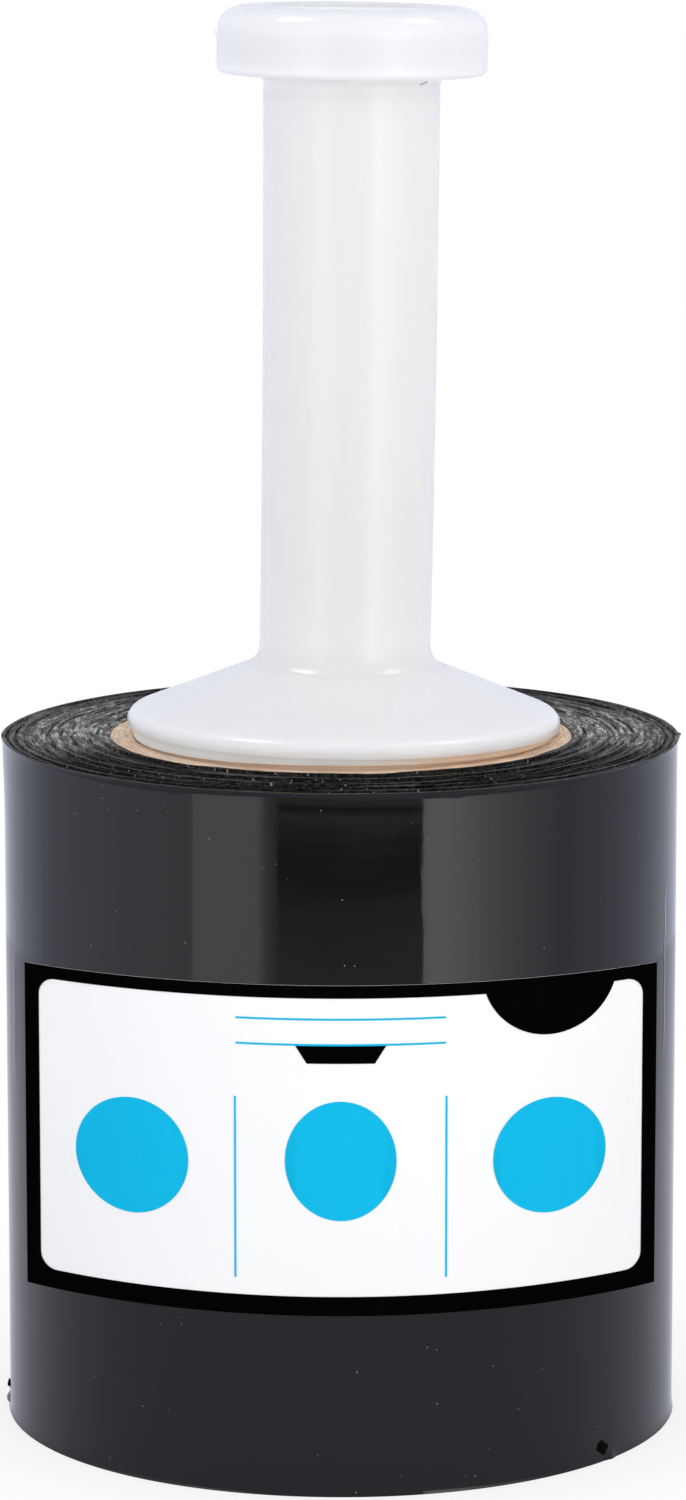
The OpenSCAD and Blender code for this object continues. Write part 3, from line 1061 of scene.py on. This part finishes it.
def handle_shell():
    """Outer and inner skin of the blown handle. They are two closed surfaces, one inside the other."""
    form = bmesh.new()
    for inset, shape in ((0, parting_line), (WALL, None)):
        outline = [(radius, height + FILM_H) for radius, height in handle_outline(inset)]
        outline = refined_open(outline, 3 * MM)
        points, faces = lathe(outline, handle_angles(), closed=False, shape=shape)
        skin = bmesh.new()
        corners = [skin.verts.new(p) for p in points]
        for face in faces:
            skin.faces.new([corners[i] for i in face])
        bmesh.ops.remove_doubles(skin, verts=skin.verts, dist=MERGE_DISTANCE)
        bmesh.ops.dissolve_degenerate(skin, edges=skin.edges, dist=1e-7)
        bmesh.ops.recalc_face_normals(skin, faces=skin.faces)
        if inset:
            bmesh.ops.reverse_faces(skin, faces=skin.faces)
        skin_mesh = mesh_of(skin, "skin")
        form.from_mesh(skin_mesh)
        bpy.data.meshes.remove(skin_mesh)
    return mesh_of(form, "handle_moulding")


def seam_bar(middle_z):
    """Round bar that lies along X. Half of it stays in the wall, and the rest is the pinched seam."""
    length = 2 * (DISH_R - SEAM_W)
    form = bmesh.new()
    bmesh.ops.create_uvsphere(form, u_segments=24, v_segments=12, radius=1.0)
    for vertex in form.verts:
        side = 1 if vertex.co.x > 0 else -1
        vertex.co.x = vertex.co.x * SEAM_W / 2 + side * length / 2 if abs(vertex.co.x) > 1e-4 else 0
        vertex.co.y *= SEAM_W / 2
        vertex.co.z = vertex.co.z * SEAM_H + middle_z
    return mesh_of(form, "seam")


def ball(centre, radii):
    """Ball stretched along each axis."""
    form = bmesh.new()
    bmesh.ops.create_uvsphere(form, u_segments=16, v_segments=10, radius=1.0)
    for vertex in form.verts:
        vertex.co = Vector(c + v * r for c, v, r in zip(centre, vertex.co, radii))
    return mesh_of(form, "ball")


def drill(centre, radius, length):
    """Round bar that stands on Z, for cutting a hole."""
    form = bmesh.new()
    bmesh.ops.create_cone(form, cap_ends=True, segments=32, radius1=radius, radius2=radius, depth=length)
    bmesh.ops.translate(form, verts=form.verts, vec=centre)
    return mesh_of(form, "drill")


def carve(mesh, tool_mesh, operation):
    """Joins a tool to a mesh or cuts it out, and returns the new mesh."""
    body = bpy.data.objects.new("body", mesh)
    tool = bpy.data.objects.new("tool", tool_mesh)
    for item in (body, tool):
        bpy.context.scene.collection.objects.link(item)
    modifier = body.modifiers.new("Carve", "BOOLEAN")
    modifier.operation, modifier.solver, modifier.object = operation, "EXACT", tool
    result = bpy.data.meshes.new_from_object(body.evaluated_get(bpy.context.evaluated_depsgraph_get()))
    for item in (body, tool):
        bpy.data.objects.remove(item)
    return result


# %% How the handle stands
LEAN_RIGHT, LEAN_BACK = math.radians(0.72), math.radians(0.42)
STAND_OFF = Vector((0.5 * MM, 0, FILM_H + 0.58 * MM))
BOW = 0.25 * MM
GRIP_H = 120 * MM
SKIRT_LEFT, SKIRT_FRONT = 0.15 * MM, 0.95 * MM


def lean(mesh):
    """Lets the handle stand loose in the core: a little aslant, as far as its play allows, and bowed.

    The foot ring's soft lower edge sags towards the core, so the ring shows higher on the left.
    """
    turn = Matrix.Rotation(LEAN_RIGHT, 4, "Y") @ Matrix.Rotation(-LEAN_BACK, 4, "X")
    for vertex in mesh.vertices:
        up = min(max((vertex.co.z - FILM_H) / GRIP_H, 0), 1)
        vertex.co.x += BOW * math.sin(math.pi * up)
    skirt = [v.index for v in mesh.vertices
             if abs(v.co.z - FILM_H) < 0.01 * MM and PLUG_R - 0.1 * MM < v.co.xy.length < FOOT_R + 0.1 * MM]
    mesh.transform(Matrix.Translation(STAND_OFF) @ turn @ Matrix.Translation((0, 0, -FILM_H)))
    for index in skirt:
        spot = mesh.vertices[index].co
        towards = min(1 + spot.x / spot.xy.length, 1)
        spot.z = min(spot.z, FILM_H + SKIRT_LEFT + (SKIRT_FRONT - SKIRT_LEFT) * towards)


handle_mesh = handle_shell()
for tool in (seam_bar(FILM_H + HANDLE_TOP - DISH_DEPTH), seam_bar(FILM_H - PLUG_L), ball(NUB_AT, NUB_RADII)):
    handle_mesh = carve(handle_mesh, tool, "UNION")
needle_place = (0, NEEDLE_D + SEAM_W, FILM_H - PLUG_L + WALL / 2)
handle_mesh = carve(handle_mesh, drill(needle_place, NEEDLE_D / 2, 2 * WALL), "DIFFERENCE")
lean(handle_mesh)
handle_moulding = smooth_piece("handle_moulding", handle_mesh, [MILKY])
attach(handle_moulding, "handle")
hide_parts("handle")

# %% [markdown]
# ## Label
#
# The label is a strip of paper round the front of the roll: white satin paper under two inks. In the photo
# it is arched, with its ends lower than its middle, and its discs are taller than wide. So we copy the
# three solids and move their points up or down with the angle round the roll.

# %% Finishes of the label
def label_material(name, full, thin, clouds, gloss, relief):
    """Satin paper, or an ink on it. The paper's clouds take it from its full colour to its thin one."""
    material, shader, place = new_material(name, IOR=1.45, Specular_IOR_Level=gloss)
    paper = use_group(FIBRES, place, Fibres_per_Metre=2500.0, Clouds_per_Metre=clouds)
    haze = use_group(HAZE, place, Patches_per_Metre=50.0, Low=0.42, High=0.52)["Value"]
    feed(shader, {"Base Color": mix_colours(paper["Cloud"], full, thin), "Roughness": haze,
                  "Normal": bump(paper["Fibre"], 0.00002, relief)})
    return material


LABEL_FINISHES = {node_name: label_material(*settings) for node_name, settings in {
    "label_sheet": ("Label paper", (0.88, 0.88, 0.875, 1), (0.905, 0.905, 0.90, 1), 70.0, 0.2, 0.5),
    "label_black_print": (
        "Black ink", (0.0010, 0.0010, 0.0012, 1), (0.0016, 0.0016, 0.0018, 1), 300.0, 0.0, 0.4),
    "label_blue_print": ("Blue ink", (0.006, 0.45, 0.72, 1), (0.010, 0.475, 0.75, 1), 300.0, 0.0, 0.4),
}.items()}
print("Label finishes:", [finish.name for finish in LABEL_FINISHES.values()])

# %% Arched label
LABEL_LOW, LABEL_HIGH = (corner.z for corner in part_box("label_sheet"))
# Lift of the middle, and two terms that bend the ends, in mm, at the label's foot and at its head
ARCH_FOOT, ARCH_HEAD = np.array((1.25, 6.4, 15.3)), np.array((0.9, 4.5, 12.4))
LABEL_TUCK, TUCK_FROM, TUCK_SPAN = math.radians(1.2), math.radians(63), math.radians(5.2)
# Discs of the print: middle across in mm, stretch across, stretch upwards, shift upwards in mm
DISCS = [(-37.3, 1.0, 1.027, -1.0), (0.0, 0.957, 1.054, 0.0), (37.3, 1.0, 1.027, -1.0)]
DISC_R, SIDE_DISCS_X = 10.5 * MM, 25 * MM


def fit_discs(spots):
    """Stretches and shifts the round islands of the blue print."""
    beside = np.abs(spots[:, 0]) > SIDE_DISCS_X
    middle_z = (spots[beside, 2].min() + spots[beside, 2].max()) / 2
    reach = np.hypot(spots[:, 0], spots[:, 1])
    for across, wide, tall, shift in DISCS:
        centre = np.array([across * MM, middle_z])
        inside = np.all(np.abs(spots[:, [0, 2]] - centre) < DISC_R, axis=1)
        spots[inside, 0] = centre[0] + (spots[inside, 0] - centre[0]) * wide
        spots[inside, 1] = -np.sqrt(reach[inside] ** 2 - spots[inside, 0] ** 2)
        spots[inside, 2] = centre[1] + (spots[inside, 2] - centre[1]) * tall + shift * MM


def arch(spots):
    """Bends the label: each point moves up or down with its angle, and both ends are tucked in a little."""
    reach = np.hypot(spots[:, 0], spots[:, 1])
    angle = np.arctan2(spots[:, 0], -spots[:, 1])
    tuck = np.clip((np.abs(angle) - TUCK_FROM) / TUCK_SPAN, 0, 1)
    angle -= np.sign(angle) * LABEL_TUCK * tuck * tuck * (3 - 2 * tuck)
    up = ((spots[:, 2] - LABEL_LOW) / (LABEL_HIGH - LABEL_LOW))[:, None]
    lift, square, drop = (ARCH_FOOT + (ARCH_HEAD - ARCH_FOOT) * up).T
    spots[:, 0], spots[:, 1] = reach * np.sin(angle), -reach * np.cos(angle)
    spots[:, 2] += MM * (lift + square * np.sin(angle) ** 2 - drop * (1 - np.cos(angle)))


def label_piece(name, node_name):
    """Copy of one of the label's solids, arched and with its finish."""
    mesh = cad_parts[node_name].data.copy()
    move_points(mesh, *([fit_discs, arch] if node_name == "label_blue_print" else [arch]))
    piece = finish_mesh(name, mesh, [LABEL_FINISHES[node_name]])
    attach(piece, "roll")
    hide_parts(node_name)


label_piece("arched_label", "label_sheet")
label_piece("arched_black_print", "label_black_print")
label_piece("arched_blue_print", "label_blue_print")
